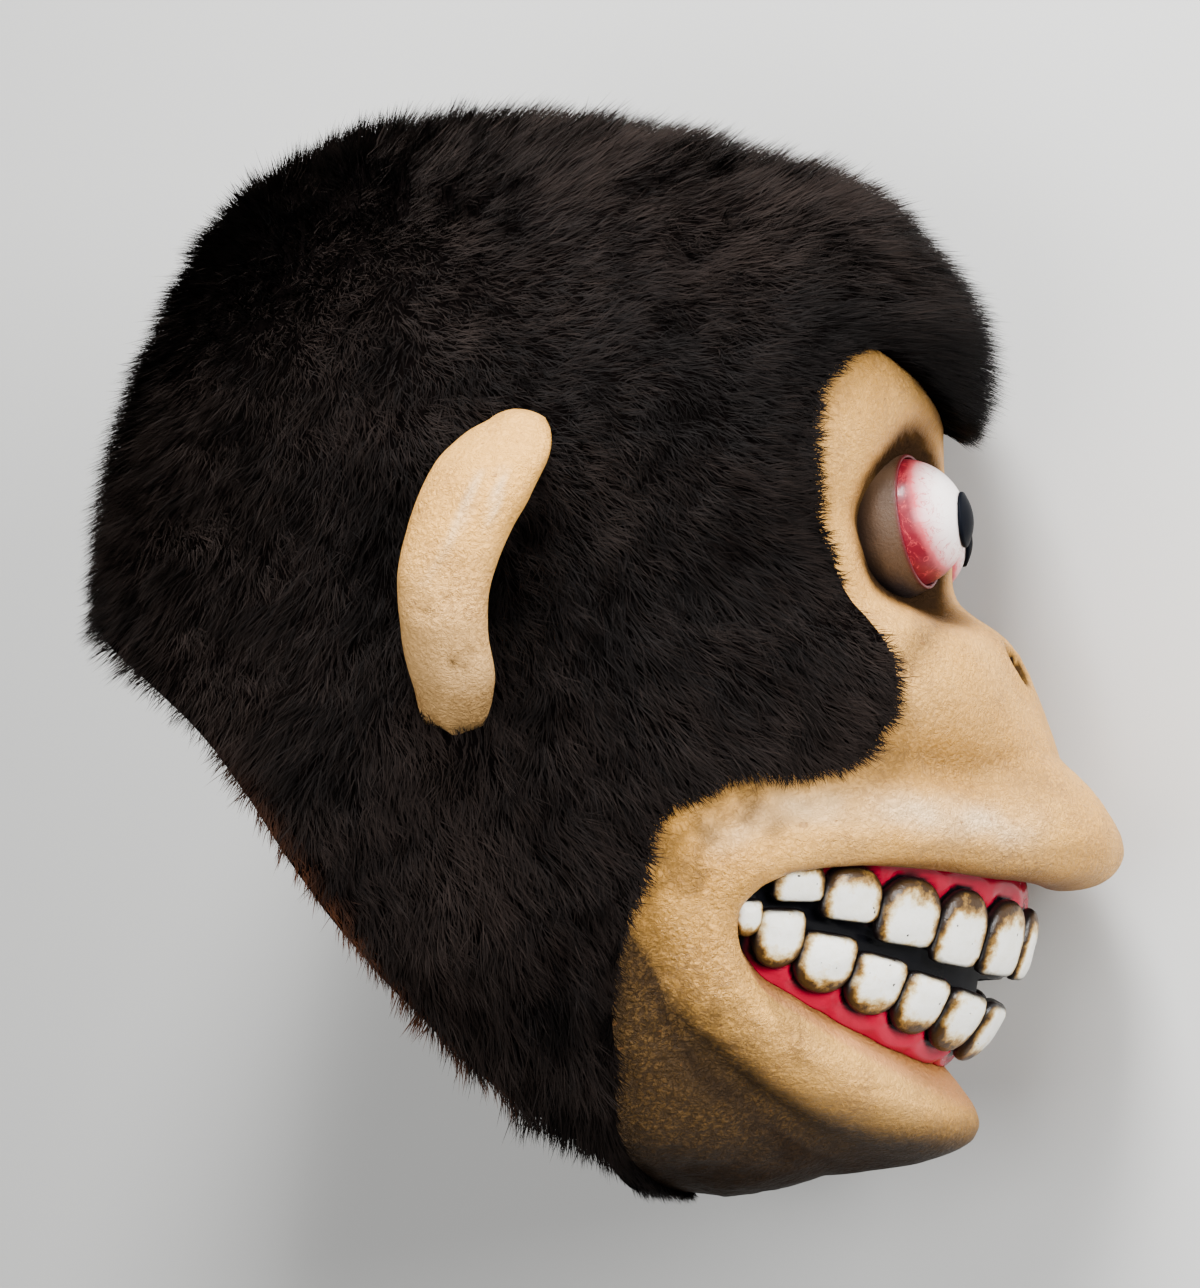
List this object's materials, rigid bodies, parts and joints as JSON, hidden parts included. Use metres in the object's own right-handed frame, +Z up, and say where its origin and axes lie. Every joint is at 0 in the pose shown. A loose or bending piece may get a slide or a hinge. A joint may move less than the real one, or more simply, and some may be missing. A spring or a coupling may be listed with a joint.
{
  "type": "chimpanzee mask",
  "caption": "Over-the-head costume mask of a grinning chimpanzee: hollow moulded latex with a glued fur cover, bulging eyes and a full row of teeth, lying on its side.",
  "frame": {"origin": "centre of the bounding box, on the floor", "axes": "+X towards the face, +Y towards the crown, +Z up; the mask lies on its left temple"},
  "size_m": [0.2968, 0.3408, 0.2566],
  "materials": {
    "latex": "matte painted latex, tan",
    "fur": "dark brown synthetic fur",
    "eye_white": "glossy pinkish white",
    "eye_black": "glossy blue-black"
  },
  "bodies": {
    "root": {"latex_head": "latex", "fur_cover": "fur", "eyeball_right": "eye_white", "eyeball_left": "eye_white", "pupil_right": "eye_black", "pupil_left": "eye_black"}
  },
  "joints": []
}
